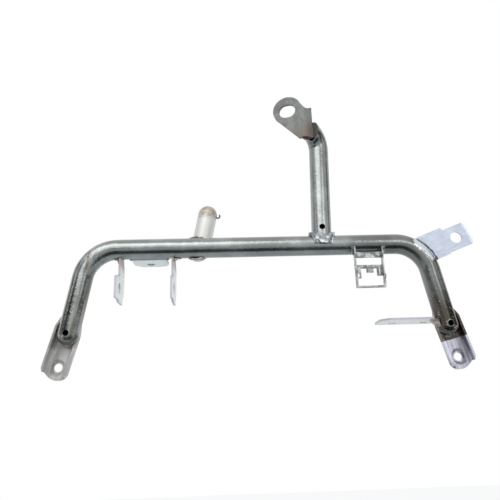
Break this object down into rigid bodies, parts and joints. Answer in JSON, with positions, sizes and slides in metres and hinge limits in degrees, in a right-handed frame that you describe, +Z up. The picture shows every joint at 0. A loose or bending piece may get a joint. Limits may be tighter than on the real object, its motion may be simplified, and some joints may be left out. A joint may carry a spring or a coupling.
{
  "type": "motorcycle fairing stay",
  "caption": "Bent tube frame stay with mounting feet, an upright with an oval-holed lug, and welded brackets that carry a fairing and lamp.",
  "frame": {"origin": "centre of the left foot's bolt hole, on the rear face that seats against the motorcycle's frame", "axes": "+X from the left foot to the right foot along the bar, +Y to the rear (away from the picture's viewer), +Z up"},
  "size_m": [0.469, 0.0671, 0.3183],
  "materials": {
    "tube_finish": "glossy gunmetal paint over steel tube, scuffed",
    "foot_left_finish": "worn silver-grey paint, brown staining",
    "foot_right_finish": "bare silver steel below a paint line",
    "lug_finish": "grey paint, worn by the bolted joint",
    "stub_finish": "pale worn paint with a brownish dome",
    "dark_steel": "dark wire",
    "tab_finish": "pale silver paint",
    "clip_finish": "thin grey sheet",
    "plate_finish": "bare silver sheet with a bluish cast",
    "bright_weld": "lumpy silver weld bead",
    "burnt_weld": "brown, heat-stained weld bead"
  },
  "bodies": {
    "root": {"main_bar": "tube_finish", "foot_left": "foot_left_finish", "foot_right": "foot_right_finish", "upright_tube": "tube_finish", "top_lug": "lug_finish", "stub_tube": "stub_finish", "stub_hook": "dark_steel", "tab_left": "tab_finish", "tab_right": "tab_finish", "hanger_plate": "tab_finish", "clip_bracket": "clip_finish", "corner_plate": "plate_finish", "shelf_plate": "tab_finish", "weld_foot_left": "burnt_weld", "weld_foot_right": "burnt_weld", "weld_upright": "bright_weld", "weld_stub": "burnt_weld", "weld_top_lug": "burnt_weld", "weld_tab_left": "burnt_weld", "weld_tab_right": "burnt_weld", "weld_hanger": "bright_weld", "weld_clip": "bright_weld", "weld_corner_plate": "burnt_weld", "weld_shelf": "burnt_weld"}
  },
  "joints": []
}
